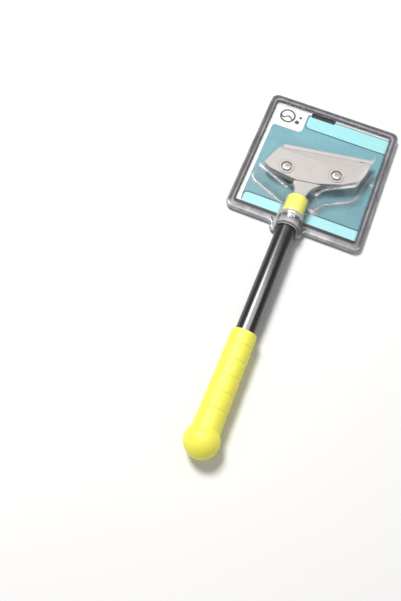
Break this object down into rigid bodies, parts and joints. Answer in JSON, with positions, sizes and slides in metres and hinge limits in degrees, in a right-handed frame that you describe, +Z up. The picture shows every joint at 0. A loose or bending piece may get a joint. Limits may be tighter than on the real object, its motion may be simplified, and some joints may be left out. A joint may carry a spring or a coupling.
{
  "type": "long-handled blade scraper",
  "caption": "Long-handled algae scraper: skewed cast head clamping a steel blade, black tube, yellow ball-ended grip, head sealed in a clear clamshell pack over a printed card.",
  "frame": {"origin": "on the surface the tool lies on, below the middle of the whole object's box", "axes": "+Y along the handle from the ball end to the blade, +Z up from the surface, +X to the right seen from above with the blade at the top"},
  "size_m": [0.154, 0.4192, 0.0344],
  "materials": {
    "black_paint": "gloss black enamel on steel tube",
    "black_plastic": "moulded",
    "yellow_grip": "soft moulded rubber, satin",
    "yellow_collar": "moulded plastic, satin gloss",
    "natural_nylon": "moulded",
    "plated_steel": "bright zinc plate",
    "cast_alloy": "fine satin blast over die casting",
    "blade_steel": "ground carbon steel",
    "printed_board": "printed and varnished card",
    "clear_sheet": "clear thermoformed sheet"
  },
  "bodies": {
    "tool": {"handle_tube": "black_paint", "tube_end_plug": "black_plastic", "grip_sleeve": "yellow_grip", "neck_collar": "yellow_collar", "shank_bush": "natural_nylon", "shank_roll_pin": "plated_steel", "head_casting": "cast_alloy", "clamp_nut_left": "plated_steel", "clamp_nut_right": "plated_steel"},
    "clamp": {"clamp_plate": "cast_alloy", "lock_washer_left": "plated_steel", "lock_washer_right": "plated_steel"},
    "screw_left": {"clamp_screw_left": "plated_steel"},
    "screw_right": {"clamp_screw_right": "plated_steel"},
    "blade": {"scraper_blade": "blade_steel"},
    "pack_front": {"pack_front_shell": "clear_sheet"},
    "pack_back": {"pack_back_shell": "clear_sheet", "printed_card": "printed_board"}
  },
  "joints": [
    {"name": "plate_release", "type": "slide", "parent": "tool", "child": "clamp", "axis": [0, 0, 1], "range_m": [0, 0.0016]},
    {"name": "screw_left_turn", "type": "hinge", "parent": "clamp", "child": "screw_left", "pos_m": [-0.02849, 0.10899, 0.02], "axis": [0, 0, 1], "range_deg": [0, 720]},
    {"name": "screw_right_turn", "type": "hinge", "parent": "clamp", "child": "screw_right", "pos_m": [0.02489, 0.11841, 0.02], "axis": [0, 0, 1], "range_deg": [0, 720]},
    {"name": "blade_draw", "type": "slide", "parent": "tool", "child": "blade", "axis": [-0.1736, 0.9848, 0], "range_m": [0, 0.006]},
    {"name": "front_lift", "type": "slide", "parent": "tool", "child": "pack_front", "axis": [0, 0, 1], "range_m": [0, 0.06]},
    {"name": "back_drop", "type": "slide", "parent": "tool", "child": "pack_back", "axis": [0, 0, -1], "range_m": [0, 0.06]}
  ],
  "couplings": [
    {"joint": "screw_left_turn", "follows": "plate_release", "rad_per_m": 7854},
    {"joint": "screw_right_turn", "follows": "plate_release", "rad_per_m": 7854}
  ]
}
